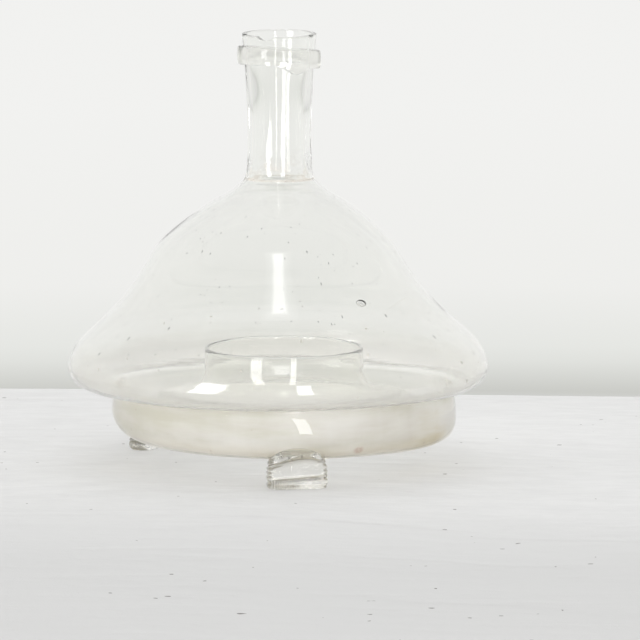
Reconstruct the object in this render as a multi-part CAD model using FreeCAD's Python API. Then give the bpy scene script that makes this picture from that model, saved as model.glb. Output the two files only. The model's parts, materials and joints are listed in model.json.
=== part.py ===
import FreeCAD, Part
import math
import os

# Hand-blown glass fly trap: a bottle neck, a wide bell, a shallow bait trough under it,
# an open collar pushed up through the base, and three applied feet.
# Millimetres, +Z up, z = 0 is the surface it stands on, and the Z axis runs through the
# middle of the bell and neck. The front faces -Y.

# ---- Driving dimensions ------------------------------------------------------------------

# The wall of the blown vessel, away from the thicker neck.
wall = 1.5

# Neck: a tube with a slight waist, a flared mouth, and a lip that was sheared off askew.
lip_z = 204.0
lip_r = 17.6
lip_lean_deg = 4.5
lip_round = 0.6
waist_r = 15.1
waist_z = 153.0
neck_base_r = 15.8
neck_base_z = 135.0
neck_outer_points = [(15.9, 185.0), (17.0, 198.5)]
neck_bore_r = 11.8
flare_start_z = 168.0
flare_points = [(12.6, 180.0), (13.9, 192.0)]
mouth_r = 14.9

# Ring: a band of glass wound round the neck, with the end of the trail pressed down.
ring_r = 19.6
ring_h = 9.2
ring_z = 192.8
ring_edge = 1.6
ring_inner_r = 12.8
ring_side_lean_deg = 3.2
ring_front_lean_deg = 2.0
trail_end_r = 7.0
trail_end_azimuth = -61.0
trail_end_drop = 3.3
trail_end_proud = 1.6

# Bell: its wall falls from the neck, swells over the rim, and rolls under to the trough.
shoulder = (31.8, 124.4)
upper_slope = (45.2, 114.6)
middle = (61.6, 95.4)
hollow = (71.5, 81.1)
lower_slope = (86.0, 66.7)
brim = (95.7, 57.1)
rim_r = 100.0
rim_z = 46.5
rim_roll = 8.9

# Base: trough and collar share one axis, a little to the right of the bell's.
base_x = 2.8
trough_r = 82.3
trough_waist_r = 81.2
trough_floor_z = 12.4
trough_corner = 12.9
valley_round = 5.0
kick_r = 62.2
kick_round = 7.0
plateau_z = 32.6
joint_r = 52.0

# Collar: the open way in, standing on the plateau of the pushed-up base.
collar_r = 37.7
collar_top_z = 54.7
collar_flare = 12.0

# Feet: three pincered tabs of glass fused under the trough's corner.
foot_azimuths = {"foot_front": -85.4, "foot_left": 146.6, "foot_right": 42.6}
foot_w = 28.4
foot_outer_r = 81.0
foot_depth = 12.0
foot_h = 19.8
foot_side_round = 4.0
foot_sole_round = 2.0
foot_top_round = 3.0

# Where the seam of each turned solid lies, clear of the feet and of the four sides.
seam_deg = 17.0


# ---- Helpers -----------------------------------------------------------------------------

origin = FreeCAD.Vector(0, 0, 0)
axis_x = FreeCAD.Vector(1, 0, 0)
axis_y = FreeCAD.Vector(0, 1, 0)
axis_z = FreeCAD.Vector(0, 0, 1)


def at(r, z):
    """A point of a half section, in the XZ plane."""
    return FreeCAD.Vector(r, 0, z)


def line(start, end):
    return Part.LineSegment(at(*start), at(*end)).toShape()


def quarter(centre, radius, start_deg, end_deg):
    """An arc about centre. Angles run from +X towards +Z."""
    angles = [math.radians(a) for a in (start_deg, (start_deg + end_deg) / 2.0, end_deg)]
    points = [at(centre[0] + radius * math.cos(a), centre[1] + radius * math.sin(a)) for a in angles]
    return Part.Arc(*points).toShape()


def curve_through(points, start_slope=None, end_slope=None):
    curve = Part.BSplineCurve()
    vectors = [at(*p) for p in points]
    if start_slope is None:
        curve.interpolate(vectors)
    else:
        curve.interpolate(Points=vectors, InitialTangent=at(*start_slope), FinalTangent=at(*end_slope))
    return curve


def inside_of(curve, thickness, count, first_parameter):
    """Points a wall's thickness inside a curve that runs down and outwards."""
    first = curve.FirstParameter + first_parameter * (curve.LastParameter - curve.FirstParameter)
    points = []
    for i in range(count):
        parameter = first + (curve.LastParameter - first) * i / (count - 1)
        along = curve.tangent(parameter)[0]
        place = curve.value(parameter)
        points.append((place.x + along.z * thickness, place.z - along.x * thickness))
    return points


def turned(edges, x=0.0):
    """The solid that a closed half section makes when it is turned about an upright axis."""
    face = Part.Face(Part.Wire(Part.__sortEdges__(edges)))
    solid = face.revolve(origin, axis_z, 360)
    solid.rotate(origin, axis_z, seam_deg)
    solid.translate(FreeCAD.Vector(x, 0, 0))
    return solid


def rounded(solid, radius, keep_edge):
    return solid.makeFillet(radius, [e for e in solid.Edges if keep_edge(e)])


# ---- Neck --------------------------------------------------------------------------------

def neck_outer_curve():
    above = lip_z + lip_r * math.tan(math.radians(lip_lean_deg)) + 1.0
    return curve_through([(neck_base_r, neck_base_z), (waist_r, waist_z), *neck_outer_points,
                          (lip_r + 0.2, above)])


def neck_blank():
    """The neck as a solid bar, with nothing bored out, up past the lip."""
    outer = neck_outer_curve()
    top = outer.EndPoint
    return turned([outer.toShape(), line((top.x, top.z), (0, top.z)), line((0, top.z), (0, neck_base_z)),
                   line((0, neck_base_z), (neck_base_r, neck_base_z))])


def neck_bore():
    """The bore: a cylinder that opens into a flared mouth."""
    top_z = lip_z + 6.0
    top_r = mouth_r + 0.3
    below_z = neck_base_z - 1.0
    flare = curve_through([(neck_bore_r, flare_start_z), *flare_points, (mouth_r, lip_z), (top_r, top_z)])
    return turned([line((0, below_z), (neck_bore_r, below_z)),
                   line((neck_bore_r, below_z), (neck_bore_r, flare_start_z)), flare.toShape(),
                   line((top_r, top_z), (0, top_z)), line((0, top_z), (0, below_z))])


def make_neck():
    # The block that takes off all that stands above the leaning lip.
    block_w = 4 * lip_r
    above_lip = Part.makeBox(block_w, block_w, lip_r, FreeCAD.Vector(-block_w / 2, -block_w / 2, 0))
    above_lip.rotate(origin, axis_x, lip_lean_deg)
    above_lip.translate(FreeCAD.Vector(0, 0, lip_z))
    neck = neck_blank().cut(above_lip).cut(neck_bore())
    lip_low_z = lip_z - lip_r * math.tan(math.radians(lip_lean_deg)) - 1.0
    return rounded(neck, lip_round, lambda e: e.BoundBox.ZMin > lip_low_z)


# ---- Ring --------------------------------------------------------------------------------

def make_neck_ring():
    band = Part.makeCylinder(ring_r, ring_h, FreeCAD.Vector(0, 0, -ring_h / 2))
    band = rounded(band, ring_edge, lambda e: len(e.Vertexes) == 1)
    band = band.cut(Part.makeCylinder(ring_inner_r, ring_h * 2, FreeCAD.Vector(0, 0, -ring_h)))
    # The end of the trail: a round tongue on the neck, under the band.
    across = math.radians(trail_end_azimuth)
    outward = FreeCAD.Vector(math.cos(across), math.sin(across), 0)
    tongue_h = 2 * ring_h
    tongue = Part.makeCylinder(neck_base_r + trail_end_proud, tongue_h, FreeCAD.Vector(0, 0, -tongue_h))
    disc_z = trail_end_r - ring_h / 2 - trail_end_drop
    disc = Part.makeCylinder(trail_end_r, 2 * neck_base_r, FreeCAD.Vector(0, 0, disc_z), outward)
    ring = band.fuse(tongue.common(disc))
    ring.rotate(origin, axis_y, ring_side_lean_deg)
    ring.rotate(origin, axis_x, -ring_front_lean_deg)
    ring.translate(FreeCAD.Vector(0, 0, ring_z))
    return ring.cut(neck_blank())


# ---- Bell --------------------------------------------------------------------------------

def trough_envelope():
    """All that lies inside the trough's outer surface. The bell and the feet are fused against it."""
    corner = (trough_r - trough_corner, trough_floor_z + trough_corner)
    top_z = rim_z - rim_roll + wall
    return turned([line((0, trough_floor_z), (corner[0], trough_floor_z)),
                   quarter(corner, trough_corner, -90, 0),
                   line((trough_r, corner[1]), (trough_waist_r, top_z)),
                   line((trough_waist_r, top_z), (0, top_z)),
                   line((0, top_z), (0, trough_floor_z))], base_x)


def make_bell():
    outer = curve_through([(neck_base_r, neck_base_z), shoulder, upper_slope, middle, hollow, lower_slope,
                           brim, (rim_r, rim_z)], start_slope=(1.0, -0.5), end_slope=(0.0, -1.0))
    inner = curve_through([(neck_bore_r, neck_base_z)] + inside_of(outer, wall, 8, 0.12))
    roll = (rim_r - rim_roll, rim_z)
    under_z = rim_z - rim_roll
    edge_r = trough_r - base_x - 2 * wall
    bell = turned([outer.toShape(), quarter(roll, rim_roll, 0, -90),
                   line((roll[0], under_z), (edge_r, under_z)),
                   line((edge_r, under_z), (edge_r, under_z + wall)),
                   line((edge_r, under_z + wall), (roll[0], under_z + wall)),
                   quarter(roll, rim_roll - wall, -90, 0), inner.toShape(),
                   line((neck_bore_r, neck_base_z), (neck_base_r, neck_base_z))])
    return bell.cut(trough_envelope())


# ---- Base --------------------------------------------------------------------------------

def trough_outline(inset):
    """The trough's half section from its top edge to the plateau, on the outer surface or inside it."""
    corner = (trough_r - trough_corner, trough_floor_z + trough_corner)
    valley_outer = valley_round + wall
    valley = (kick_r + valley_round, trough_floor_z + valley_outer)
    shoulder_centre = (kick_r - kick_round, plateau_z - kick_round)
    top_z = rim_z - rim_roll + wall
    outer_r = trough_r - inset
    waist_r = trough_waist_r - inset
    floor_z = trough_floor_z + inset
    kick = kick_r - wall + inset
    shelf_z = plateau_z - wall + inset
    edges = [line((waist_r, top_z), (outer_r, corner[1])), quarter(corner, trough_corner - inset, 0, -90),
             line((corner[0], floor_z), (valley[0], floor_z)),
             quarter(valley, valley_outer - inset, 270, 180),
             line((kick, valley[1]), (kick, shoulder_centre[1])),
             quarter(shoulder_centre, kick_round - wall + inset, 0, 90),
             line((shoulder_centre[0], shelf_z), (joint_r, shelf_z))]
    return edges, (waist_r, top_z), (joint_r, shelf_z)


def make_trough():
    outside, outside_top, outside_end = trough_outline(0)
    inside, inside_top, inside_end = trough_outline(wall)
    return turned(outside + inside + [line(outside_top, inside_top), line(outside_end, inside_end)], base_x)


def make_entry_collar():
    flare = (collar_r + collar_flare, plateau_z + collar_flare)
    inner_r = collar_r - wall
    lip = (collar_r - wall / 2, collar_top_z - wall / 2)
    under_z = plateau_z - wall
    return turned([line((joint_r, under_z), (joint_r, plateau_z)),
                   line((joint_r, plateau_z), (flare[0], plateau_z)),
                   quarter(flare, collar_flare, 270, 180),
                   line((collar_r, flare[1]), (collar_r, lip[1])),
                   quarter(lip, wall / 2, 0, 180),
                   line((inner_r, lip[1]), (inner_r, flare[1])),
                   quarter(flare, collar_flare + wall, 180, 270),
                   line((flare[0], under_z), (joint_r, under_z))], base_x)


# ---- Feet --------------------------------------------------------------------------------

def make_foot(azimuth):
    inner_r = foot_outer_r - foot_depth
    tab = Part.makeBox(foot_depth, foot_w, foot_h, FreeCAD.Vector(inner_r, -foot_w / 2, 0))
    tab = rounded(tab, foot_side_round, lambda e: e.BoundBox.ZLength > foot_h / 2)
    tab = rounded(tab, foot_sole_round, lambda e: e.BoundBox.ZMax < 0.1)
    tab = rounded(tab, foot_top_round, lambda e: e.BoundBox.ZMin > foot_h - 0.1)
    tab.rotate(origin, axis_z, azimuth)
    tab.translate(FreeCAD.Vector(base_x, 0, 0))
    return tab.cut(trough_envelope())


# ---- Write the nodes ---------------------------------------------------------------------

nodes = {
    "neck": make_neck(),
    "neck_ring": make_neck_ring(),
    "bell": make_bell(),
    "trough": make_trough(),
    "entry_collar": make_entry_collar(),
}
for name, azimuth in foot_azimuths.items():
    nodes[name] = make_foot(azimuth)

os.makedirs("parts", exist_ok=True)
for name, shape in nodes.items():
    solids = shape.Solids
    print(f"{name:14s} solids {len(solids)} valid {shape.isValid()} volume {shape.Volume / 1000:7.2f} cm3")
    solids[0].exportStep(f"parts/{name}.step")
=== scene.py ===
import json
import math
import random
from collections import namedtuple

import bpy
import bmesh
from mathutils import Matrix, Quaternion, Vector, noise
from mathutils.bvhtree import BVHTree

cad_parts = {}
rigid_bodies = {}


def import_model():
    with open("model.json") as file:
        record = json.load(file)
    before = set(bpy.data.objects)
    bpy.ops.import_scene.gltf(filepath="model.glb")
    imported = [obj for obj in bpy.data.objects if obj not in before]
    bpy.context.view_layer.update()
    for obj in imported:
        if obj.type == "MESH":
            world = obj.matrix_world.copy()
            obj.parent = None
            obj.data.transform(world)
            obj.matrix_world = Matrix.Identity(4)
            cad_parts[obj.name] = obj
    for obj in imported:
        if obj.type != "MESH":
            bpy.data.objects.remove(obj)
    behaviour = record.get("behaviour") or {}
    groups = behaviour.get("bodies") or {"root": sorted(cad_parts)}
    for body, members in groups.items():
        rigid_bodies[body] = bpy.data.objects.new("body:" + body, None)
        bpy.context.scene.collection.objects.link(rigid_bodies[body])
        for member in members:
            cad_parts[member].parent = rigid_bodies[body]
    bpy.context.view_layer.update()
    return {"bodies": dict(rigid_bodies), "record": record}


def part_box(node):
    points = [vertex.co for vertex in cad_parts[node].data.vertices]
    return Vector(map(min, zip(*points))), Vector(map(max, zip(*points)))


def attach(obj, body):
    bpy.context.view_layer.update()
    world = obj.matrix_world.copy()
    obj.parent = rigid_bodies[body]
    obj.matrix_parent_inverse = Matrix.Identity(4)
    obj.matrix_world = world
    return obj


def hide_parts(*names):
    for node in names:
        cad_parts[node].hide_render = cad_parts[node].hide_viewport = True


# A hand-blown glass fly trap: one continuous blown wall, a band wound round its neck, and
# three pinched feet, with the dried bait still clouding the trough. Metres. The frame gives
# the trap's main sizes and places. The numbers here are the hand-made details that a box
# doesn't hold, and the room around the trap.

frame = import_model()

MM = 0.001

# ---- Sizes from the frame ----------------------------------------------------------------

neck_low, neck_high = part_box("neck")
ring_low, ring_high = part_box("neck_ring")
bell_low, bell_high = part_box("bell")
trough_low, trough_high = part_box("trough")
collar_low, collar_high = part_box("entry_collar")
mounts = {m["name"]: m for m in frame["record"]["mounts"]}

rim_r = bell_high.x
ledge_z = bell_low.z
neck_base_z = neck_low.z
lip_r = neck_high.x
lip_slope = math.tan(math.radians(4.5))
lip_z = neck_high.z - lip_r * lip_slope
bore_r = mounts["neck_bore"]["dims"]["r_mm"] * MM
base_x = (trough_low.x + trough_high.x) / 2
trough_r = (trough_high.x - trough_low.x) / 2
sole_z = trough_low.z
kick_r = mounts["base_recess"]["dims"]["r_mm"] * MM
shelf_z = collar_low.z
entry_r = mounts["entry_bore"]["dims"]["r_mm"] * MM
collar_top_z = collar_high.z
ring_r = (ring_high.x - ring_low.x) / 2

# ---- The wall and its bends --------------------------------------------------------------

wall = 1.5 * MM
bell_wall = 1.1 * MM
trough_wall = 0.9 * MM
shoulder_extra = 0.4 * MM
shoulder_run = 40 * MM
neck_foot_r = lip_r - 1.4 * MM
mouth_r = lip_r - 2.4 * MM
bore_waist = 0.4 * MM
bore_foot_flare = 2.6 * MM
lip_round = 0.5 * MM
rim_roll = 8.9 * MM
rim_mid_z = ledge_z + rim_roll
trough_waist_r = trough_r - 0.9 * MM
trough_corner = 12.9 * MM
corner_top_z = sole_z + trough_corner
valley_round = 7.0 * MM
kick_shoulder = 5.0 * MM
collar_flare = 14.0 * MM
weld_depth = 0.4 * MM
around = 200


# ---- Curves ------------------------------------------------------------------------------

def smoothstep(a, b, x):
    t = min(1.0, max(0.0, (x - a) / (b - a)))
    return t * t * (3 - 2 * t)


def hill(x, centre, half_width):
    return math.exp(-((x - centre) / half_width) ** 2)


def degrees_from(turn, azimuth):
    """The angle from an azimuth in degrees to a turn in radians, from -180 to 180."""
    return (math.degrees(turn) - azimuth + 180.0) % 360.0 - 180.0


def lobe(turn, azimuth, half_width):
    """A smooth hill round the axis: 1 at the azimuth, both numbers in degrees."""
    return hill(degrees_from(turn, azimuth), 0, half_width)


def scoop(turn, azimuth, half_width):
    """A chip's outline round the lip: 1 in its middle, falling to 0 at steep ends."""
    return max(0.0, 1 - (degrees_from(turn, azimuth) / half_width) ** 2)


def smooth_through(points, step):
    """A centripetal Catmull-Rom curve through the points, cut about every step."""
    pts = [Vector(p) for p in points]
    pts = [2 * pts[0] - pts[1]] + pts + [2 * pts[-1] - pts[-2]]
    out = []
    for a, b, c, d in zip(pts, pts[1:], pts[2:], pts[3:]):
        t1 = (b - a).length ** 0.5
        t2 = t1 + (c - b).length ** 0.5
        t3 = t2 + (d - c).length ** 0.5
        count = max(2, round((c - b).length / step))
        for i in range(count):
            t = t1 + (t2 - t1) * i / count
            ab = a.lerp(b, t / t1)
            bc = b.lerp(c, (t - t1) / (t2 - t1))
            cd = c.lerp(d, (t - t2) / (t3 - t2))
            abc = ab.lerp(bc, t / t2)
            bcd = bc.lerp(cd, (t - t1) / (t3 - t1))
            out.append(abc.lerp(bcd, (t - t1) / (t2 - t1)))
    out.append(pts[-2])
    return out


def arc(centre_r, centre_z, radius, start, end, steps):
    """Points round an arc of the half section, from one angle in degrees to another."""
    out = []
    for i in range(steps + 1):
        a = math.radians(start + (end - start) * i / steps)
        out.append(Vector((centre_r + radius * math.cos(a), centre_z + radius * math.sin(a))))
    return out


def joined(*runs):
    """Runs of points end to end, with no point twice."""
    out = []
    for run in runs:
        for p in run:
            if not out or (p - out[-1]).length > 0.1 * MM:
                out.append(p)
    return out


# ---- The blown wall's outline ------------------------------------------------------------

Row = namedtuple("Row", "r z base inside")


def neck_outside():
    """From the lip down to the crease where the bell begins."""
    lip = arc(lip_r - lip_round, lip_z - lip_round, lip_round, 90, 0, 4)
    side = [(lip_r, lip_z - 1.2 * MM), (lip_r - 0.6 * MM, lip_z - 6 * MM),
            (lip_r - 1.6 * MM, lip_z - 19 * MM), (lip_r - 2.3 * MM, lip_z - 36 * MM),
            (lip_r - 2.5 * MM, neck_base_z + 18 * MM), (lip_r - 2.2 * MM, neck_base_z + 7 * MM),
            (lip_r - 2.0 * MM, neck_base_z + 3.6 * MM), (neck_foot_r, neck_base_z + 1.4 * MM)]
    return joined(lip, smooth_through(side, 1.8 * MM))


def bell_outside():
    """Down the flank in shares of the rim's radius and the bell's height, and round the roll."""
    flank = [(0.168, 0.997), (0.19, 0.975), (0.24, 0.93), (0.32, 0.88), (0.45, 0.77), (0.553, 0.66),
             (0.616, 0.55), (0.68, 0.44), (0.76, 0.335), (0.86, 0.228), (0.914, 0.172), (0.957, 0.12),
             (0.986, 0.06), (1.0, 0.0)]
    height = neck_base_z - rim_mid_z
    points = [(rim_r * r, rim_mid_z + height * z) for r, z in flank]
    roll = arc(rim_r - rim_roll, rim_mid_z, rim_roll, 0, -90, 14)
    return joined(smooth_through(points, 1.8 * MM), roll)


def base_outside():
    """From the ledge under the rim, round the trough, up the pushed-up base and the collar's bore."""
    ledge = [(rim_r - rim_roll - 1.5 * MM, ledge_z), (trough_waist_r + 3.2 * MM, ledge_z + 0.3 * MM),
             (trough_waist_r + 1.2 * MM, ledge_z - 0.2 * MM),
             (trough_waist_r + 0.1 * MM, ledge_z - 1.6 * MM),
             (trough_waist_r + 0.4 * MM, ledge_z - 5 * MM), (trough_r, corner_top_z)]
    shoulder_r = kick_r - kick_shoulder
    shoulder_z = shelf_z - kick_shoulder
    flare_r = entry_r + collar_flare
    flare_z = shelf_z + collar_flare
    return joined(smooth_through(ledge, 1.2 * MM),
                  arc(trough_r - trough_corner, corner_top_z, trough_corner, 0, -90, 16),
                  arc(kick_r + valley_round, sole_z + valley_round, valley_round, 270, 180, 9),
                  arc(shoulder_r, shoulder_z, kick_shoulder, 0, 90, 7),
                  smooth_through([(shoulder_r, shelf_z), (flare_r, shelf_z)], 2.0 * MM),
                  arc(flare_r, flare_z, collar_flare, 270, 180, 13),
                  smooth_through([(entry_r, flare_z), (entry_r, collar_top_z - wall / 2)], 1.6 * MM))


def bore_at(z):
    """The neck's inner radius: a slightly waisted bore that flares into the mouth and the bell."""
    flare = smoothstep(neck_base_z + 30 * MM, lip_z + 4 * MM, z)
    waist = bore_waist * hill(z, neck_base_z + 24 * MM, 12 * MM)
    below = bore_foot_flare * smoothstep(neck_base_z + 15 * MM, neck_base_z - 1.5 * MM, z)
    return bore_r - waist + (mouth_r - bore_r) * flare + below


def wall_below_neck(r, past_crease, base):
    """The wall's thickness: a little more at the shoulder, least in the trough, full in the collar."""
    upper_wall = bell_wall + shoulder_extra * (1 - smoothstep(0, shoulder_run, past_crease))
    in_trough = smoothstep(kick_r - 8 * MM, kick_r + 2 * MM, r)
    base_wall = wall + (trough_wall - wall) * in_trough
    return upper_wall + (base_wall - upper_wall) * base


def outline():
    """The closed half section as rows: radius, height, share of the base's offset, inside or not."""
    neck_path = neck_outside()
    bell_path = bell_outside()
    path = joined(neck_path, bell_path, base_outside())
    run = [0.0]
    for a, b in zip(path, path[1:]):
        run.append(run[-1] + (b - a).length)
    crease_run = run[len(neck_path) - 1]
    ledge_run = run[len(neck_path) + len(bell_path) - 1]
    outer = []
    inner = []
    for i, p in enumerate(path):
        base = smoothstep(ledge_run - 9 * MM, ledge_run + 8 * MM, run[i])
        past_crease = run[i] - crease_run
        if past_crease <= 0:
            outward = Vector((1, 0))
            thick = p.x - bore_at(p.y)
        else:
            along = (path[min(i + 1, len(path) - 1)] - path[i - 1]).normalized()
            outward = Vector((-along.y, along.x))
            thick = wall_below_neck(p.x, past_crease, base)
        q = p - outward * thick
        outer.append(Row(p.x, p.y, base, False))
        inner.append(Row(q.x, q.y, base, True))
    end = path[-1]
    collar_edge = arc(end.x + wall / 2, end.y, wall / 2, 180, 0, 8)[1:-1]
    lip_edge = arc(inner[0].r + lip_round, lip_z - lip_round, lip_round, 180, 90, 4)
    first = next(i for i, row in enumerate(inner) if row.z < lip_z - lip_round - 0.3 * MM)
    return (outer + [Row(p.x, p.y, 1.0, True) for p in collar_edge]
            + inner[:first - 1:-1] + [Row(p.x, p.y, 0.0, True) for p in lip_edge])


# ---- What the hand did -------------------------------------------------------------------

oval = 0.3 * MM
left_bulge = 1.3 * MM
left_bulge_z = 98 * MM
grain_height = 0.15 * MM
right_pinch = 1.2 * MM
front_pinch = 2.6 * MM
left_splay = 1.3 * MM
squarer_corner = 1.8 * MM
right_sag = 0.6 * MM
collar_lean = 2.0 * MM
neck_swell = 0.15 * MM
neck_shift = 0.6 * MM

# Each chip in the lip: its azimuth and half width in degrees, and its depth in millimetres.
chips = ((-111, 15, 2.1), (-30, 5, 0.9), (-80, 5, 0.4), (80, 4, 0.5), (100, 6, 0.4), (-160, 5, 0.4))


def chip_depth(turn):
    """How far the lip is chipped down, round its edge."""
    return MM * sum(depth * scoop(turn, azimuth, half_width) for azimuth, half_width, depth in chips)


def trough_side_shift(z, turn):
    """How far out the trough's side goes: pinched in under the rim at the front and right, and
    splayed at the left front."""
    rise = min(1.0, max(0.0, z - corner_top_z) / (ledge_z - corner_top_z))
    pinch = right_pinch * smoothstep(0.0, 1.0, math.cos(turn)) + front_pinch * lobe(turn, -76, 18)
    return left_splay * lobe(turn, -112, 16) * rise - pinch * rise ** 2


def corner_shift(r, z, turn):
    """The trough's lower corner, squarer on the right: how far out and how far up a point goes."""
    over_r = r - trough_r + trough_corner
    over_z = z - corner_top_z
    if over_r <= 0 or over_z >= 0:
        return 0.0, 0.0
    away = math.hypot(over_r, over_z)
    diagonal = (2 * over_r * over_z / away ** 2) ** 2
    fuller = squarer_corner * smoothstep(0.35, 0.95, math.cos(turn)) * diagonal
    return over_r / away * fuller, over_z / away * fuller


def blown(r, z, turn, base):
    """Where a point of the even, turned form really is on the hand-blown piece."""
    c, s = math.cos(turn), math.sin(turn)
    upper = smoothstep(neck_base_z - 14 * MM, neck_base_z, z)
    grain = noise.noise(Vector((c * 1.3, s * 1.3, z * 16)))
    # The bell is fuller on its left and a little oval.
    uneven = oval * math.cos(2 * turn + 0.7) - left_bulge * c * hill(z, left_bulge_z, 20 * MM)
    r += (1 - base) * (1 - upper) * uneven
    r += (1 - upper) * grain_height * grain * smoothstep(entry_r, kick_r, r)
    if r > (kick_r + trough_r) / 2:
        r += base * trough_side_shift(z, turn)
    out, up = corner_shift(r, z, turn)
    r += out
    z += up
    # The trough hangs lower on its right.
    if r > kick_r - kick_shoulder:
        z -= base * (1 - smoothstep(20 * MM, 38 * MM, z)) * right_sag * c
    # The collar leans in towards its top at its front and left.
    if r < kick_r - kick_shoulder and z < neck_base_z / 2:
        foot_share = (collar_top_z - z) / (collar_top_z - shelf_z)
        spread = 1 - smoothstep(entry_r + 3 * MM, entry_r + collar_flare, r)
        r += collar_lean * foot_share * spread * lobe(turn, -110, 75)
    # Drawing the neck left faint flutes down it.
    flutes = 0.05 * math.cos(7 * turn + 1.0) + 0.04 * math.cos(11 * turn) + 0.06 * grain
    r += upper * (flutes * MM + neck_swell)
    x = r * c + base_x * base
    x += neck_shift * smoothstep(neck_base_z - 30 * MM, neck_base_z + 5 * MM, z)
    y = r * s
    # The lip was sheared off askew.
    z += smoothstep(lip_z - 9 * MM, lip_z, z) * y * lip_slope
    z -= smoothstep(lip_z - 4 * MM, lip_z, z) * chip_depth(turn)
    return Vector((x, y, z))


# ---- Mesh helpers ------------------------------------------------------------------------

def add_loft(bm, grid, close_rows, materials=None):
    """Quads over a grid of closed rows of points. The first and last rows are joined to each
    other, or each is closed with a fan about its middle. Materials has one index for each row."""
    verts = [[bm.verts.new(p) for p in row] for row in grid]
    rows, columns = len(verts), len(verts[0])
    for i in range(rows if close_rows else rows - 1):
        a, b = verts[i], verts[(i + 1) % rows]
        for j in range(columns):
            k = (j + 1) % columns
            face = bm.faces.new((a[j], b[j], b[k], a[k]))
            if materials:
                face.material_index = materials[i]
    if close_rows:
        return
    for row, flip in ((verts[0], False), (verts[-1], True)):
        middle = bm.verts.new(sum((v.co for v in row), Vector()) / columns)
        for j in range(columns):
            a, b = row[j], row[(j + 1) % columns]
            bm.faces.new((middle, b, a) if flip else (middle, a, b))


def smooth_mesh(bm, name, *materials):
    """A mesh with smooth faces, from the builder, which it uses up."""
    for face in bm.faces:
        face.smooth = True
    mesh = bpy.data.meshes.new(name)
    bm.to_mesh(mesh)
    bm.free()
    for material in materials:
        mesh.materials.append(material)
    return mesh


def finish_piece(bm, name, slot, nodes, *materials):
    """A smooth mesh object that rides on the trap and stands for its CAD nodes."""
    piece = bpy.data.objects.new(name, smooth_mesh(bm, name, *materials))
    bpy.context.scene.collection.objects.link(piece)
    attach(piece, next(iter(frame["bodies"])))
    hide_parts(*nodes)
    return piece


# ---- Shader helpers ----------------------------------------------------------------------

class Shader:
    """A material's nodes, wired with short calls."""

    def __init__(self, name):
        self.material = bpy.data.materials.new(name)
        self.material.use_nodes = True
        self.tree = self.material.node_tree
        self.tree.nodes.clear()
        self.output = self.add("ShaderNodeOutputMaterial")
        self.where = self.add("ShaderNodeTexCoord").outputs["Object"]

    def add(self, kind, **inputs):
        node = self.tree.nodes.new(kind)
        for name, value in inputs.items():
            self.put(node.inputs[name.replace("_", " ")], value)
        return node

    def put(self, socket, value):
        if isinstance(value, bpy.types.NodeSocket):
            self.tree.links.new(value, socket)
        else:
            socket.default_value = value

    def math(self, operation, a, b=0.0):
        node = self.add("ShaderNodeMath")
        node.operation = operation
        self.put(node.inputs[0], a)
        self.put(node.inputs[1], b)
        return node.outputs[0]

    def times(self, a, b):
        return self.math("MULTIPLY", a, b)

    def plus(self, a, b):
        return self.math("ADD", a, b)

    def apart(self, a, b):
        return self.math("ABSOLUTE", self.math("SUBTRACT", a, b))

    def larger(self, a, b):
        return self.math("MAXIMUM", a, b)

    def noise(self, scale, detail=2.0, rough=0.5, stretch=(1, 1, 1)):
        mapping = self.add("ShaderNodeMapping", Vector=self.where, Scale=stretch)
        node = self.add("ShaderNodeTexNoise", Vector=mapping.outputs[0], Scale=scale, Detail=detail,
                        Roughness=rough)
        return node.outputs[0]

    def ramp(self, value, low, high, out_low=0.0, out_high=1.0):
        """Smoothly from one number to another as the value goes from low to high."""
        node = self.add("ShaderNodeMapRange", Value=value, From_Min=low, From_Max=high,
                        To_Min=out_low, To_Max=out_high)
        node.interpolation_type = "SMOOTHSTEP"
        return node.outputs[0]

    def blend(self, share, a, b):
        """From colour a to colour b."""
        node = self.add("ShaderNodeMix")
        node.data_type = "RGBA"
        self.put(node.inputs["Factor"], share)
        self.put(node.inputs[6], a)
        self.put(node.inputs[7], b)
        return node.outputs[2]

    def near(self, place, reach):
        """1 around a place, falling to 0 at its reach."""
        away = self.add("ShaderNodeVectorMath", Vector=self.where)
        away.operation = "DISTANCE"
        self.put(away.inputs[1], place)
        return self.ramp(away.outputs["Value"], reach, reach * 0.3)

    def axes(self):
        return list(self.add("ShaderNodeSeparateXYZ", Vector=self.where).outputs)

    def bump(self, height, distance, strength, normal=None):
        node = self.add("ShaderNodeBump", Height=height, Distance=distance, Strength=strength)
        if normal is not None:
            self.put(node.inputs["Normal"], normal)
        return node.outputs[0]

    def glass(self, **inputs):
        """A glass surface that lets lamp light through, as a thin wall does."""
        surface = self.add("ShaderNodeBsdfPrincipled", IOR=1.5, **inputs)
        light = self.add("ShaderNodeLightPath")
        clear = self.add("ShaderNodeBsdfTransparent", Color=(1, 1, 1, 1))
        mix = self.add("ShaderNodeMixShader")
        self.put(mix.inputs[0], light.outputs["Is Shadow Ray"])
        self.put(mix.inputs[1], surface.outputs[0])
        self.put(mix.inputs[2], clear.outputs[0])
        self.put(self.output.inputs["Surface"], mix.outputs[0])
        return self.material


# ---- Glass -------------------------------------------------------------------------------

def outer_glass():
    """Old soda glass: faintly green, with the slow ripple and fine cords of blown work."""
    s = Shader("blown_glass_outside")
    greener = (0.964, 0.970, 0.952, 1)
    clearer = (0.978, 0.982, 0.966, 1)
    tint = s.blend(s.noise(12.0), greener, clearer)
    haze = s.ramp(s.noise(55.0, 5.0, 0.65), 0.5, 0.8, 0.0, 0.03)
    ripple = s.bump(s.noise(38.0, 1.0), 0.15 * MM, 0.5)
    cords = s.bump(s.noise(170.0, 2.0, stretch=(1, 1, 0.25)), 0.012 * MM, 0.6, ripple)
    return s.glass(Base_Color=tint, Roughness=haze, Transmission_Weight=1.0, Normal=cords)


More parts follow.
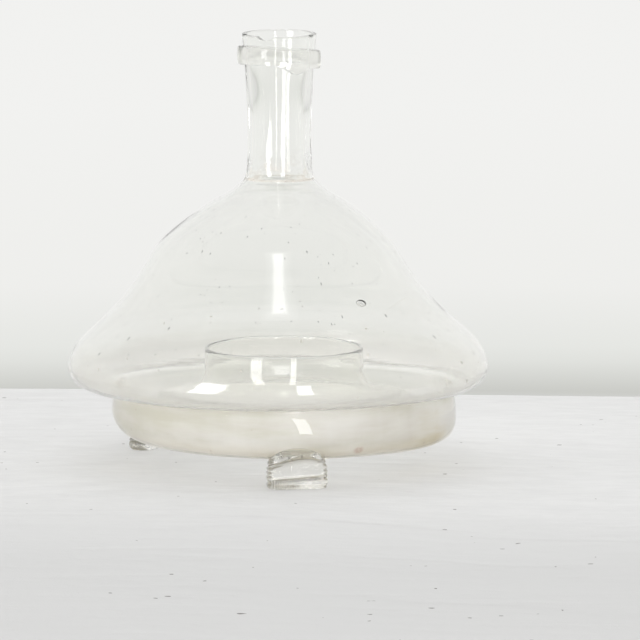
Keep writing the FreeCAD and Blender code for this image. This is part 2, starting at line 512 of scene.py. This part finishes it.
def tooled_glass():
    """The band round the neck: thicker, with the fine rings that the jacks left."""
    s = Shader("tooled_glass")
    greener = (0.985, 0.99, 0.98, 1)
    warmer = (0.99, 0.98, 0.975, 1)
    tint = s.blend(s.noise(90.0, 2.0), greener, warmer)
    rough = s.ramp(s.noise(160.0, 3.0), 0.35, 0.75, 0.04, 0.15)
    dents = s.bump(s.noise(140.0, 1.0), 0.3 * MM, 0.4)
    rings = s.bump(s.noise(420.0, 2.0, 0.6, stretch=(0.06, 0.06, 1)), 0.08 * MM, 0.6, dents)
    return s.glass(Base_Color=tint, Roughness=rough, Transmission_Weight=1.0, Normal=rings)


def pinched_glass():
    """The feet: solid glass, with painted shade along the crease, the fold, the ribs and between the
    side beads, and a painted darker top over the weld, scuffed underneath by use.
    """
    s = Shader("pinched_glass")
    smokier = (0.978, 0.968, 0.938, 1)
    clearer = (0.997, 0.992, 0.978, 1)
    painted_dark_top = (0.95, 0.935, 0.88, 1)
    painted_fold_shade = (0.20, 0.17, 0.10, 1)
    _, _, z = s.axes()
    tint = s.blend(s.noise(110.0, 3.0), smokier, clearer)
    # Painted shade: the top, over the weld, is painted darker.
    tint = s.blend(s.ramp(z, 12 * MM, 18 * MM), tint, painted_dark_top)
    # Painted shade from the shade attribute: along the crease and the fold, between the ribs and between
    # the side beads.
    shade = s.add("ShaderNodeAttribute")
    shade.attribute_name = "shade"
    tint = s.blend(shade.outputs["Fac"], tint, painted_fold_shade)
    scuff = s.times(s.ramp(z, 1.6 * MM, 0.2 * MM), s.ramp(s.noise(900.0, 3.0), 0.35, 0.6))
    rough = s.plus(s.times(scuff, 0.35), 0.01)
    lumps = s.bump(s.noise(260.0, 2.0), 0.3 * MM, 0.6)
    return s.glass(Base_Color=tint, Roughness=rough, Transmission_Weight=1.0, Normal=lumps)


# ---- The clouded inside ------------------------------------------------------------------

def in_trough_at(azimuth, inset, height):
    """A place in the trough: an azimuth in degrees, an inset from its side, a height over its sole."""
    turn = math.radians(azimuth)
    r = trough_r - inset
    return base_x + r * math.cos(turn), r * math.sin(turn), sole_z + height


def radius_from_base_axis(s, x, y):
    across = s.math("SUBTRACT", x, base_x)
    return s.math("SQRT", s.plus(s.times(across, across), s.times(y, y)))


def trough_mask(s, y, z, radius):
    """Where the bait stood: 1 in the trough up to the ledge, less towards the back."""
    inside = s.times(s.ramp(radius, kick_r - 4 * MM, kick_r + 6 * MM),
                     s.ramp(z, ledge_z + 1.5 * MM, ledge_z - 1.0 * MM))
    return s.times(inside, s.ramp(y, -20 * MM, 60 * MM, 1.0, 0.4))


def thin_films(s, z, radius, patchy):
    """The thin films past the trough: on the rim, and on the shelf and the collar's foot."""
    wave = s.times(s.noise(16.0, 3.0, stretch=(1, 1, 0.2)), 14 * MM)
    tide = s.plus(z, wave)
    rim = s.times(s.ramp(tide, ledge_z + 26 * MM, ledge_z + 12 * MM),
                  s.ramp(radius, trough_r - 4 * MM, trough_r + 4 * MM, 0.0, 0.41))
    shelf = s.times(s.ramp(tide, collar_top_z + 14 * MM, ledge_z + 4 * MM),
                    s.ramp(patchy, 0.3, 0.9, 0.2, 0.38))
    return rim, shelf


def neck_stain(s, z):
    """A stain over the neck's foot, where the stopper's drips ran down, and a darker brown line along
    the crease.
    """
    up_neck = s.plus(z, s.times(s.noise(70.0, 3.0), 16 * MM))
    band = s.times(s.ramp(up_neck, neck_base_z + 24 * MM, neck_base_z + 9 * MM),
                   s.ramp(up_neck, neck_base_z + 4 * MM, neck_base_z + 9 * MM))
    drips = s.times(band, s.ramp(s.noise(110.0, 3.0, 0.6), 0.45, 0.65, 0.0, 0.45))
    crease = s.times(s.ramp(s.apart(z, neck_base_z), 1.0 * MM, 0.3 * MM),
                     s.ramp(s.noise(160.0, 2.0), 0.3, 0.6, 0.1, 0.5))
    return s.larger(drips, crease)


def inner_glass():
    """The inside of the wall: clean in the bell, clouded and stained by dried bait lower down."""
    s = Shader("blown_glass_inside")
    clean = (0.986, 0.988, 0.979, 1)
    pinkish_cream = (0.71, 0.67, 0.62, 1)
    yellowish_cream = (0.625, 0.60, 0.50, 1)
    sediment_tan_painted_lighter = (0.88, 0.79, 0.62, 1)
    stain_brown = (0.66, 0.52, 0.38, 1)
    patch_tan = (0.60, 0.51, 0.32, 1)
    rust_red = (0.46, 0.27, 0.17, 1)
    rim_brown = (0.48, 0.43, 0.37, 1)
    speck_brown = (0.42, 0.34, 0.25, 1)

    x, y, z = s.axes()
    radius = radius_from_base_axis(s, x, y)
    cloud = s.noise(26.0, 4.0, 0.6, stretch=(0.45, 0.45, 2.2))
    streak = s.noise(60.0, 3.0, 0.6, stretch=(1, 1, 0.12))
    patchy = s.plus(cloud, s.times(streak, 0.3))

    # How much dirt there is: a dense film in the trough, which stops at the ledge, thin ones
    # past it, the neck's stain, and specks low down in the bell.
    in_trough = trough_mask(s, y, z, radius)
    dense_film = s.times(in_trough, s.ramp(patchy, 0.45, 0.75, 0.55, 0.92))
    rim_film, shelf_film = thin_films(s, z, radius, patchy)
    film = s.larger(dense_film, s.larger(rim_film, shelf_film))
    stain = neck_stain(s, z)
    specks = s.times(s.ramp(z, 90 * MM, 50 * MM), s.ramp(s.noise(420.0, 0.0), 0.825, 0.85, 0.0, 0.6))
    dirt = s.larger(s.larger(film, stain), specks)

    # What colour it is.
    level = s.plus(z, s.times(cloud, 10 * MM))
    # The sediment low in the trough: its own tan, painted lighter as painted light where the
    # downward-facing bottom gets little light.
    low_sediment_and_painted_light = s.times(in_trough, s.ramp(level, sole_z + 14 * MM, sole_z + 7 * MM))
    tan_patch = s.times(s.near(in_trough_at(-32.79, 4.73 * MM, 5.1 * MM), 20 * MM),
                        s.ramp(cloud, 0.35, 0.6, 0.35, 1.0))
    rust_spot = s.times(s.near(in_trough_at(-63.92, 4.02 * MM, 4.6 * MM), 3.3 * MM),
                        s.ramp(s.noise(500.0, 2.0), 0.3, 0.55))
    on_rim = s.times(rim_film, s.ramp(z, ledge_z, ledge_z + 2 * MM, 0.0, 1.6))
    cream_streaks = s.noise(18.0, 5.0, 0.65, stretch=(0.7, 0.7, 3.5))
    residue = s.blend(s.ramp(cream_streaks, 0.38, 0.62), pinkish_cream, yellowish_cream)
    residue = s.blend(s.times(low_sediment_and_painted_light, 0.6), residue, sediment_tan_painted_lighter)
    residue = s.blend(s.times(stain, 2.0), residue, stain_brown)
    residue = s.blend(tan_patch, residue, patch_tan)
    residue = s.blend(rust_spot, residue, rust_red)
    residue = s.blend(on_rim, residue, rim_brown)
    residue = s.blend(specks, residue, speck_brown)

    colour = s.blend(dirt, clean, residue)
    clear = s.ramp(dirt, 0.0, 1.0, 1.0, 0.40)
    rough = s.ramp(dirt, 0.0, 1.0, 0.0, 0.5)
    ripple = s.bump(s.noise(45.0, 1.0), 0.15 * MM, 0.5)
    return s.glass(Base_Color=colour, Roughness=rough, Transmission_Weight=clear, Normal=ripple)


# ---- The vessel --------------------------------------------------------------------------

# How far under the bell's outer face the middle of a seed lies.
seed_cover = 0.75 * MM
blister_thickness = 0.9 * MM
long_seed_thickness = 0.4 * MM
small_seed_thickness = 0.3 * MM
small_seed_count = 170

# Azimuth in degrees, then height, length and width in millimetres: one open blister on the
# right, and the long seeds that stand out.
blister = (-56, 83, 3.8, 5.2)
long_seeds = ((-142, 66, 2.56, 0.96), (-150, 58, 1.76, 1.12), (-128, 72, 1.92, 0.64),
              (-71, 92, 1.6, 0.64), (-75, 106, 1.44, 0.72), (-48, 77, 2.08, 0.72),
              (-33, 66, 2.72, 0.64), (-18, 56, 1.92, 0.88), (-66, 78, 1.76, 0.56),
              (-108, 61, 1.28, 0.88))


def seed_place(rows, z):
    """A place in the bell's wall at about a height: its radius and height, and the outward
    direction there."""
    flank = [row for row in rows if not row.inside and rim_mid_z < row.z < neck_base_z]
    below = next(i for i, row in enumerate(flank) if row.z < z)
    a, b = flank[max(below - 1, 0)], flank[below]
    share = (z - a.z) / (b.z - a.z) if b.z != a.z else 0.0
    along = Vector((b.r - a.r, b.z - a.z)).normalized()
    outward = Vector((-along.y, along.x))
    r = a.r + (b.r - a.r) * share
    return r - outward.x * seed_cover, z - outward.y * seed_cover, outward


def add_seed(bm, rows, azimuth, z, length, width, thickness, level):
    """A bubble in the bell's wall, drawn out along it, its faces looking into the bubble. Level
    says how finely it is divided."""
    turn = math.radians(azimuth)
    r, mid_z, outward = seed_place(rows, z)
    radial = Vector((math.cos(turn), math.sin(turn), 0))
    normal = radial * outward.x + Vector((0, 0, outward.y))
    sideways = Vector((-math.sin(turn), math.cos(turn), 0))
    downhill = sideways.cross(normal)
    half_axes = Matrix((sideways * width / 2, downhill * length / 2, normal * thickness / 2))
    centre = blown(r, mid_z, turn, 0.0)
    place = Matrix.Translation(centre) @ half_axes.transposed().to_4x4()
    made = bmesh.ops.create_icosphere(bm, subdivisions=level, radius=1.0, matrix=place)
    faces = {f for v in made["verts"] for f in v.link_faces}
    outside_in = next(iter(faces))
    if outside_in.normal.dot(outside_in.calc_center_median() - centre) > 0:
        bmesh.ops.reverse_faces(bm, faces=list(faces))


def make_vessel():
    rows = outline()
    turns = [2 * math.pi * j / around for j in range(around)]
    grid = [[blown(row.r, row.z, turn, row.base) for turn in turns] for row in rows]
    bm = bmesh.new()
    add_loft(bm, grid, True, [int(row.inside) for row in rows])
    bm.normal_update()
    azimuth, z, length, width = blister
    add_seed(bm, rows, azimuth, z * MM, length * MM, width * MM, blister_thickness, 3)
    for azimuth, z, length, width in long_seeds:
        add_seed(bm, rows, azimuth, z * MM, length * MM, width * MM, long_seed_thickness, 2)
    scatter = random.Random(11)
    for _ in range(small_seed_count):
        width = scatter.uniform(0.25, 0.6) * MM
        azimuth = scatter.uniform(0, 360)
        z = scatter.uniform(52, 128) * MM
        length = width * scatter.uniform(1.2, 3.0)
        add_seed(bm, rows, azimuth, z, length, width, small_seed_thickness, 1)
    return finish_piece(bm, "blown_vessel", "vessel_glass", ("neck", "bell", "trough", "entry_collar"),
                        outer_glass(), inner_glass())


def outer_surface(vessel):
    """The vessel's outside, for the pieces that were fused onto it."""
    mesh = vessel.data
    faces = [p.vertices[:] for p in mesh.polygons if p.material_index == 0 and len(p.vertices) == 4]
    return BVHTree.FromPolygons([v.co for v in mesh.vertices], faces)


def fuse(point, surface):
    """Keeps a point of an added piece no deeper in the vessel's wall than the weld."""
    place, normal, _, _ = surface.find_nearest(point)
    depth = (place - point).dot(normal)
    return place - normal * weld_depth if depth > weld_depth else point


# ---- The band round the neck -------------------------------------------------------------

band_mid_z = ring_high.z - 5.8 * MM
band_shift = 0.5 * MM
band_inner_r = lip_r - 3.2 * MM
band_half_h = 4.5 * MM
band_side_lean = math.tan(math.radians(3.2))
band_front_lean = math.tan(math.radians(2.0))
section_points = 40
tongue_azimuth = -61.0
tongue_half_width = 17
tongue_drop = 3.4 * MM
tongue_press = 1.6 * MM


def band_section(turn):
    """The band's section at a turn: a rounded rectangle, from its outer middle up and over. The
    trail's end is pressed down on the neck at its tongue, and overlaps the band past it."""
    c, s = math.cos(turn), math.sin(turn)
    off = degrees_from(turn, tongue_azimuth)
    tongue = hill(off, 0, tongue_half_width)
    overlap = smoothstep(-34, -22, off) * (1 - smoothstep(8, 60, off))
    wobble = noise.noise(Vector((c * 1.7, s * 1.7, 4.0)))
    section = []
    for i in range(section_points):
        a = 2 * math.pi * i / section_points
        out = math.copysign(abs(math.cos(a)) ** 0.35, math.cos(a))
        up = math.copysign(abs(math.sin(a)) ** 0.5, math.sin(a))
        outer_side = out > 0
        pressed = smoothstep(-0.88, -0.99, up) * tongue
        r = (ring_r + band_inner_r) / 2 + (ring_r - band_inner_r) / 2 * out
        r -= pressed * tongue_press * outer_side
        r += 0.12 * MM * wobble + 0.1 * MM * overlap * hill(up, -0.6, 0.3) * outer_side
        z = band_half_h * up - pressed * tongue_drop
        z += 0.25 * MM * noise.noise(Vector((c * 2.2, s * 2.2, 9.0 + up)))
        section.append((r, z))
    return section


def make_band(surface):
    """A wound band, tilted down to its right and back."""
    grid = []
    for j in range(around):
        turn = 2 * math.pi * j / around
        row = []
        for r, z in band_section(turn):
            x, y = r * math.cos(turn), r * math.sin(turn)
            lean = -band_side_lean * x - band_front_lean * y
            row.append(fuse(Vector((x + band_shift, y, band_mid_z + z + lean)), surface))
        grid.append(row)
    bm = bmesh.new()
    add_loft(bm, grid, True)
    bmesh.ops.recalc_face_normals(bm, faces=bm.faces)
    finish_piece(bm, "neck_band", "ring_glass", ("neck_ring",), tooled_glass())


# ---- Feet --------------------------------------------------------------------------------

foot_half_w = 13.6 * MM
foot_outer_r = 81.0 * MM
foot_depth = 12.0 * MM
foot_mound = 1.6 * MM
foot_corner = 3.6 * MM
sole_round = 1.8 * MM
top_round = 2 * sole_round
foot_columns = 400
foot_rows = 66
bead_radians_per_mm = 1.25
rib_radians_per_mm = 5.4
foot_slips = (("front", 0.6 * MM), ("left", 4.5 * MM), ("right", 0.0))


def round_corner_path(half_w, half_d, corner, count):
    """Evenly spaced points round a rectangle with round corners, from the right side's middle."""
    quarter = ("arc", math.pi / 2 * corner)
    half_side = ("line", half_d - corner)
    side = ("line", 2 * (half_d - corner))
    front = ("line", 2 * (half_w - corner))
    stretches = [half_side, quarter, front, quarter, side, quarter, front, quarter, half_side]
    step = sum(length for _, length in stretches) / count
    tiny = 1e-9
    point = Vector((half_w, 0))
    heading = math.pi / 2
    at = 0
    left = stretches[0][1]
    out = []
    for _ in range(count):
        out.append(point.copy())
        go = step
        while go > tiny and at < len(stretches):
            part = min(go, left)
            if stretches[at][0] == "arc":
                turned = part / corner
                middle = heading + turned / 2
                chord = 2 * corner * math.sin(turned / 2)
                point += chord * Vector((math.cos(middle), math.sin(middle)))
                heading += turned
            else:
                point += part * Vector((math.cos(heading), math.sin(heading)))
            go -= part
            left -= part
            if left < tiny:
                at += 1
                left = stretches[at][1] if at < len(stretches) else 0
    return out


def round_edge(away, radius):
    """How far a round edge has drawn in, at a distance from its end."""
    if away >= radius:
        return 0.0
    return radius * (1 - math.sqrt(max(0.0, 1 - (1 - away / radius) ** 2)))


def crease_height(share):
    """The crease across a foot's front, lower on its left. Share runs from -1 to 1 across it."""
    return (5.0 + 0.7 * share) * MM


def fold_height(share):
    """The second fold, just under the weld, arched and lower on its left."""
    return (13.4 + 1.8 * share - 1.0 * share * share) * MM


def bead_turn(across, z, seed):
    """How far through the uneven row of beads a height is, in radians. The two sides differ."""
    return z / MM * bead_radians_per_mm + seed + 1.3 * (across > 0) + 0.8 * math.sin(z / MM * 0.7 + seed)


def pinched(across, outward, z, height, seed):
    """Where a point of a plain tab ends up once the pincers have closed on it. Outward is 0 at
    its front."""
    share = across / foot_half_w
    front = smoothstep(-3.5 * MM, -0.5 * MM, outward)
    side = smoothstep(0.8, 0.97, abs(share))
    crease_z = crease_height(share)
    fold_z = fold_height(share)
    crease_depth = 2.2 * MM * (0.8 + 0.3 * share) * smoothstep(1.0, 0.86, abs(share))
    outward -= front * crease_depth * hill(z, crease_z, 0.75 * MM)
    outward -= front * 1.8 * MM * hill(z, fold_z, 1.0 * MM)
    outward += front * 0.5 * MM * hill(z, crease_z + 3.5 * MM, 2.4 * MM)
    outward -= front * 1.2 * MM * smoothstep(fold_z, height, z)
    # Ribs below the crease on the left, fainter ones above it on the right.
    below = smoothstep(crease_z, crease_z - 1.4 * MM, z)
    rib_height = 0.7 * below * smoothstep(0.4, -0.4, share) + 0.08 * (1 - below) * hill(share, 0.3, 0.4)
    outward += front * MM * rib_height * math.cos(across / MM * rib_radians_per_mm)
    # Beads down both sides, and a waist above the splayed sole.
    beads = math.cos(bead_turn(across, z, seed))
    across += math.copysign(side * 1.1 * MM * abs(beads), share)
    across *= 0.955 - 0.12 * smoothstep(6 * MM, height, z)
    # The top arches up on to the trough.
    z -= (0.26 * height) * share * share * smoothstep(height * 0.5, height, z)
    lump = noise.noise(Vector((across * 130, outward * 130, z * 130 + seed * 7)))
    return Vector((across, outward + 0.35 * MM * lump * front, z))


def foot_shade(across, z, seed):
    """How much shade is painted on the glass: along the crease and the fold, between the beads at the
    sides, and between the ribs below the crease.
    """
    share = across / foot_half_w
    crease_z = crease_height(share)
    crease = hill(z, crease_z, 0.4 * MM) * smoothstep(0.95, 0.7, abs(share))
    fold = 0.6 * hill(z, fold_height(share), 0.8 * MM)
    between = 0.1 + 0.8 * abs(math.sin(bead_turn(across, z, seed)))
    edge = between * smoothstep(0.84, 0.95, abs(share))
    under_crease = smoothstep(crease_z, crease_z - 1.2 * MM, z) * smoothstep(0.2, -0.4, share)
    ribs = 0.55 * under_crease * smoothstep(0.0, 1.0, math.cos(across / MM * rib_radians_per_mm))
    return max(crease, fold, edge, ribs)


def make_foot(node, name, seed, slip, surface, material):
    """One foot, set a little round the trough from its CAD place by its slip."""
    low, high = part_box(node)
    height = high.z - low.z + foot_mound
    middle = (low + high) / 2
    out = Vector((middle.x - base_x, middle.y, 0)).normalized()
    sideways = Vector((-out.y, out.x, 0))
    front = Vector((base_x, 0, low.z)) + out * foot_outer_r + sideways * slip
    grid = []
    shades = []
    for i in range(foot_rows + 1):
        z = height * i / foot_rows
        inset = max(round_edge(z, sole_round), round_edge(height - z, top_round))
        path = round_corner_path(foot_half_w - inset, foot_depth / 2 - inset, foot_corner, foot_columns)
        row = []
        for p in path:
            q = pinched(p.x, p.y - foot_depth / 2, z, height, seed)
            shades.append(foot_shade(p.x, z, seed))
            row.append(fuse(front + sideways * q.x + out * q.y + Vector((0, 0, q.z)), surface))
        grid.append(row)
    # Rings that close the top, each kept on the trough's wall as it shrinks to the middle.
    top_edge = grid[-1]
    top_middle = sum(top_edge, Vector()) / foot_columns
    for share in (0.25, 0.5, 0.75):
        grid.append([fuse(p.lerp(top_middle, share), surface) for p in top_edge])
        shades += shades[-foot_columns:]
    bm = bmesh.new()
    add_loft(bm, grid, False)
    # The last two vertices are the middles of the sole and of the top.
    shades += [0.0, 0.0]
    bm.verts.ensure_lookup_table()
    bm.verts[-1].co = fuse(bm.verts[-1].co, surface)
    bmesh.ops.recalc_face_normals(bm, faces=bm.faces)
    foot = finish_piece(bm, name, "foot_glass", (node,), material)
    shade = foot.data.attributes.new("shade", "FLOAT", "POINT")
    shade.data.foreach_set("value", shades)


# ---- Stage -------------------------------------------------------------------------------

table_width = 3.0
table_depth = 1.12
table_middle_y = -0.335
table_turn = math.radians(-5)
flat_r = 0.09
uneven_r = 0.16


def cloth_material():
    s = Shader("table_cloth")
    shaded = (0.68, 0.68, 0.675, 1)
    pale = (0.765, 0.765, 0.76, 1)
    painted_shade_near = (0.62, 0.62, 0.615, 1)
    lint_grey = (0.16, 0.15, 0.14, 1)
    _, y, _ = s.axes()
    weave = s.noise(1500.0, 2.0, 0.6)
    fold = s.noise(7.0, 4.0, 0.55, stretch=(0.5, 1.6, 1))
    nap = s.noise(60.0, 6.0, 0.7, stretch=(0.6, 1.5, 1))
    creases = s.apart(s.noise(4.5, 3.0, 0.55, stretch=(0.6, 1.7, 1)), 0.5)
    lint = s.ramp(s.noise(240.0, 0.0), 0.858, 0.866, 0.0, 0.85)
    mottled = s.plus(s.times(fold, 0.5), s.times(s.ramp(nap, 0.3, 0.7), 0.5))
    colour = s.blend(mottled, shaded, pale)
    # Painted shade: the cloth is painted darker towards the front.
    colour = s.blend(s.ramp(y, -0.06, -0.26), colour, painted_shade_near)
    colour = s.blend(lint, colour, lint_grey)
    normal = s.bump(fold, 12 * MM, 0.3)
    normal = s.bump(nap, 1.5 * MM, 0.35, normal)
    normal = s.bump(weave, 0.4 * MM, 0.3, normal)
    normal = s.bump(s.ramp(creases, 0.0, 0.05), 0.8 * MM, 0.4, normal)
    surface = s.add("ShaderNodeBsdfPrincipled", Base_Color=colour, Roughness=0.95, Normal=normal,
                    Specular_IOR_Level=0.2)
    s.put(s.output.inputs["Surface"], surface.outputs[0])
    return s.material


def make_table():
    """A pale table top. Its back edge is close behind the trap, as in a photograph against a wall."""
    bm = bmesh.new()
    bmesh.ops.create_grid(bm, x_segments=120, y_segments=60, size=0.5)
    for v in bm.verts:
        x, y = v.co.x * table_width, v.co.y * table_depth
        # Flat under the feet, and a little uneven further out.
        away = smoothstep(flat_r, uneven_r, math.hypot(x, y + table_middle_y))
        broad = 1.4 * MM * noise.noise(Vector((x * 5, y * 9, 2.0)))
        small = 0.5 * MM * noise.noise(Vector((x * 14, y * 22, 5.0)))
        v.co = Vector((x, y + table_middle_y, (broad + small - 1.2 * MM) * away))
    table = bpy.data.objects.new("table", smooth_mesh(bm, "table", cloth_material()))
    table.rotation_euler.z = table_turn
    bpy.context.scene.collection.objects.link(table)


# The room's colour by the upward part of the direction looked in, from -0.2 to 1.
room_low, room_high = -0.2, 1.0
# The wall darkens towards its foot into a painted shadow line at -0.149, where it meets the table.
room_bands = ((-0.2, (0.84, 0.84, 0.82)), (-0.17, (0.74, 0.74, 0.73)), (-0.151, (0.70, 0.70, 0.69)),
              (-0.149, (0.585, 0.59, 0.56)), (-0.137, (0.78, 0.79, 0.76)),
              (-0.115, (0.86, 0.86, 0.84)), (-0.06, (0.885, 0.885, 0.87)),
              (0.35, (0.88, 0.88, 0.87)), (0.65, (0.74, 0.74, 0.74)), (1.0, (0.72, 0.72, 0.72)))
front_strength = 0.7

window_radiance = 6.2
window_distance = 2.6
fill_distance = 2.0


def make_world():
    """A pale room: a light wall behind, a dimmer ceiling, and a darker room in front."""
    world = bpy.data.worlds.new("pale_room")
    world.use_nodes = True
    bpy.context.scene.world = world
    nodes, links = world.node_tree.nodes, world.node_tree.links
    way = nodes.new("ShaderNodeTexCoord")
    axes = nodes.new("ShaderNodeSeparateXYZ")
    links.new(way.outputs["Generated"], axes.inputs[0])
    height = nodes.new("ShaderNodeMapRange")
    height.inputs["From Min"].default_value = room_low
    height.inputs["From Max"].default_value = room_high
    links.new(axes.outputs["Z"], height.inputs["Value"])
    bands = nodes.new("ShaderNodeValToRGB")
    ramp = bands.color_ramp
    while len(ramp.elements) < len(room_bands):
        ramp.elements.new(0.5)
    for element, (z, colour) in zip(ramp.elements, room_bands):
        element.position = (z - room_low) / (room_high - room_low)
        element.color = (*colour, 1)
    links.new(height.outputs[0], bands.inputs[0])
    front = nodes.new("ShaderNodeMapRange")
    front.interpolation_type = "SMOOTHSTEP"
    front.inputs["From Min"].default_value = -0.8
    front.inputs["From Max"].default_value = 0.2
    front.inputs["To Min"].default_value = front_strength
    front.inputs["To Max"].default_value = 1.0
    links.new(axes.outputs["Y"], front.inputs["Value"])
    background = nodes["Background"]
    links.new(bands.outputs[0], background.inputs["Color"])
    links.new(front.outputs[0], background.inputs["Strength"])


def add_lamp(name, place, target, size, radiance, roll=0):
    """A soft rectangular lamp, its power worked out from how bright it looks, rolled by some degrees."""
    lamp = bpy.data.lights.new(name, "AREA")
    lamp.shape = "RECTANGLE"
    lamp.size, lamp.size_y = size
    lamp.energy = radiance * math.pi * size[0] * size[1]
    lit = bpy.data.objects.new(name, lamp)
    lit.location = place
    aim = (Vector(target) - Vector(place)).to_track_quat("-Z", "Y")
    lit.rotation_euler = (aim @ Quaternion((0, 0, 1), math.radians(roll))).to_euler()
    lit.visible_camera = False
    bpy.context.scene.collection.objects.link(lit)
    return lit


def around_front(azimuth, distance, z):
    """A place in front of the trap, azimuth degrees to the right of straight ahead."""
    turn = math.radians(azimuth)
    return (distance * math.sin(turn), -distance * math.cos(turn), z)


def make_windows():
    """Two tall windows of the room behind the camera, which the glass mirrors."""
    windows = (("window_left", -37.5, 0.62, (0.74, 1.4), -12),
               ("window_right", 14.5, 0.42, (0.36, 1.6), 2))
    for name, azimuth, z, size, roll in windows:
        place = around_front(azimuth, window_distance, z)
        add_lamp(name, place, (0, 0, z), size, window_radiance, roll)


def make_skylight():
    """A long light overhead, with a soft edge: lamps of growing size, each dimmer than the last."""
    place = (0.06, -1.0, 2.0)
    for growth, radiance in ((0.8, 3.0), (1.0, 2.0), (1.2, 1.2), (1.5, 0.7), (1.9, 0.45), (2.4, 0.3)):
        size = (0.27 * growth, 0.9 * growth ** 0.3)
        add_lamp("skylight", place, (0, 0, 0.1), size, radiance)


def make_fills():
    """Light for the table and the clouded glass that no clear surface mirrors."""
    fills = [add_lamp("fill_top", (-0.1, 0.15, 1.1), (0, 0, 0), (0.9, 0.6), 1.4)]
    for azimuth, radiance in ((-85, 1.2), (0, 0.5), (85, 2.0)):
        place = around_front(azimuth, fill_distance, 0.6)
        fills.append(add_lamp("fill_side", place, (0, 0, 0), (1.4, 1.0), radiance))
    for fill in fills:
        fill.visible_glossy = False
        fill.visible_transmission = False


def make_camera():
    """The camera looks a little down on the trap, from in front and just right of its axis."""
    place = (0.0199, -1.5, 0.259)
    degrees_down = 7.27
    lens_mm = 178.4
    data = bpy.data.cameras.new("camera")
    data.lens = lens_mm
    camera = bpy.data.objects.new("camera", data)
    camera.location = place
    camera.rotation_euler = (math.radians(90 - degrees_down), 0, 0)
    bpy.context.scene.collection.objects.link(camera)
    bpy.context.scene.camera = camera


def set_light_paths():
    """Enough bounces for light that is guided a long way inside the glass wall."""
    through_glass = 64
    between_mirrors = 24
    scene = bpy.context.scene
    scene.view_settings.view_transform = "Standard"
    scene.cycles.max_bounces = through_glass
    scene.cycles.transmission_bounces = through_glass
    scene.cycles.transparent_max_bounces = through_glass
    scene.cycles.glossy_bounces = between_mirrors
    scene.cycles.caustics_reflective = True
    scene.cycles.caustics_refractive = True


# ---- Making ------------------------------------------------------------------------------

vessel = make_vessel()
surface = outer_surface(vessel)
make_band(surface)
foot_glass = pinched_glass()
for seed, (side, slip) in enumerate(foot_slips, 1):
    make_foot(f"foot_{side}", f"{side}_foot", seed, slip, surface, foot_glass)

make_table()
make_world()
make_windows()
make_skylight()
make_fills()
make_camera()
set_light_paths()
